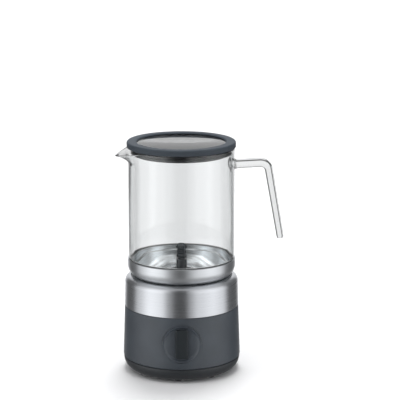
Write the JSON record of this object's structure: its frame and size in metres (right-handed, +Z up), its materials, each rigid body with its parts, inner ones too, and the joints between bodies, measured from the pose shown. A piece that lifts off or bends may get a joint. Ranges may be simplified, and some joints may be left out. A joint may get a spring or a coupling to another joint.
{
  "type": "milk frother",
  "caption": "Round countertop milk frother: powered base with a control dial, glass jug with a stepped steel pan and glass rod handle, magnetic coil whisk and ring lid with a clear window.",
  "frame": {"origin": "bottom centre of the bounding box, on the surface it stands on; the vertical axis of the round base, jug, whisk and lid is at x = -0.0207 m, y = 0", "axes": "+Z up; the control dial faces -Y; the jug handle points to +X, turned 14 degrees towards +Y"},
  "size_m": [0.1782, 0.1246, 0.247],
  "materials": {
    "housing_plastic": "fine satin moulding, dark slate grey",
    "cover_plastic": "fine satin moulding, near black",
    "grip_plastic": "smooth moulding, near black",
    "inner_plastic": "plain moulding",
    "brushed_steel": "fine brushing around the axis",
    "polished_steel": "polished stainless steel",
    "clear_glass": "clear, fire polished",
    "seal_silicone": "translucent grey silicone",
    "foot_rubber": "matte black rubber",
    "coil_copper": "lacquered copper winding",
    "magnet": "nickel plated",
    "circuit_board": "green solder mask",
    "plated_steel": "zinc plated"
  },
  "bodies": {
    "base": {"base_shell": "housing_plastic", "bottom_cover": "cover_plastic", "steel_band": "brushed_steel", "seat_ring": "housing_plastic", "plate_gasket": "seal_silicone", "seat_plate": "brushed_steel", "drive_cover": "brushed_steel", "foot_1": "foot_rubber", "foot_2": "foot_rubber", "foot_3": "foot_rubber", "foot_4": "foot_rubber", "foot_5": "foot_rubber", "foot_6": "foot_rubber", "foot_7": "foot_rubber", "foot_8": "foot_rubber", "cover_screw_1": "plated_steel", "cover_screw_2": "plated_steel", "cover_screw_3": "plated_steel", "coil_carrier": "inner_plastic", "coil_inner": "coil_copper", "coil_outer": "coil_copper", "motor_bracket": "plated_steel", "drive_motor": "plated_steel", "sensor_holder": "grip_plastic", "sensor_spring": "polished_steel", "dial_cup": "inner_plastic", "dial_encoder": "inner_plastic", "dial_board": "circuit_board", "control_board": "circuit_board", "transformer": "plated_steel", "capacitor": "inner_plastic", "cord_gland": "foot_rubber"},
    "rotor": {"motor_shaft": "polished_steel", "drive_rotor": "inner_plastic", "drive_magnet_1": "magnet", "drive_magnet_2": "magnet"},
    "sensor": {"sensor_pin": "polished_steel"},
    "dial": {"dial": "housing_plastic", "dial_grip": "grip_plastic", "dial_spindle": "plated_steel"},
    "jug": {"jug_glass": "clear_glass", "jug_handle": "clear_glass", "glass_seal": "seal_silicone", "steel_pan": "brushed_steel", "induction_disc": "plated_steel", "pivot_pin": "polished_steel"},
    "whisk_bearing": {"whisk_bush": "inner_plastic"},
    "whisk": {"whisk_hub": "grip_plastic", "whisk_stem": "grip_plastic", "whisk_coil": "polished_steel", "whisk_magnet_1": "magnet", "whisk_magnet_2": "magnet"},
    "lid": {"lid_ring": "housing_plastic", "lid_glass": "clear_glass", "lid_collar": "cover_plastic", "lid_seal": "seal_silicone"}
  },
  "joints": [
    {"name": "jug_lift", "type": "slide", "parent": "base", "child": "jug", "axis": [0, 0, 1], "range_m": [0, 0.0423]},
    {"name": "lid_lift", "type": "slide", "parent": "jug", "child": "lid", "axis": [0, 0, 1], "range_m": [0, 0.0803]},
    {"name": "whisk_lift", "type": "slide", "parent": "jug", "child": "whisk_bearing", "axis": [0, 0, 1], "range_m": [0, 0.1559]},
    {"name": "whisk_spin", "type": "hinge", "parent": "whisk_bearing", "child": "whisk", "pos_m": [-0.0207, 0, 0.11], "axis": [0, 0, 1], "continuous": true},
    {"name": "rotor_spin", "type": "hinge", "parent": "base", "child": "rotor", "pos_m": [-0.0207, 0, 0.0892], "axis": [0, 0, 1], "continuous": true},
    {"name": "dial_turn", "type": "hinge", "parent": "base", "child": "dial", "pos_m": [-0.0207, -0.055, 0.0433], "axis": [0, -1, 0], "continuous": true},
    {"name": "sensor_press", "type": "slide", "parent": "base", "child": "sensor", "axis": [0, 0, -1], "range_m": [0, 0.0015], "stiffness_N_per_m": 250, "deforming": ["sensor_spring"]}
  ],
  "couplings": [
    {"joint": "whisk_lift", "follows": "lid_lift", "ratio": 1.9415},
    {"joint": "whisk_spin", "follows": "rotor_spin", "ratio": 1}
  ]
}
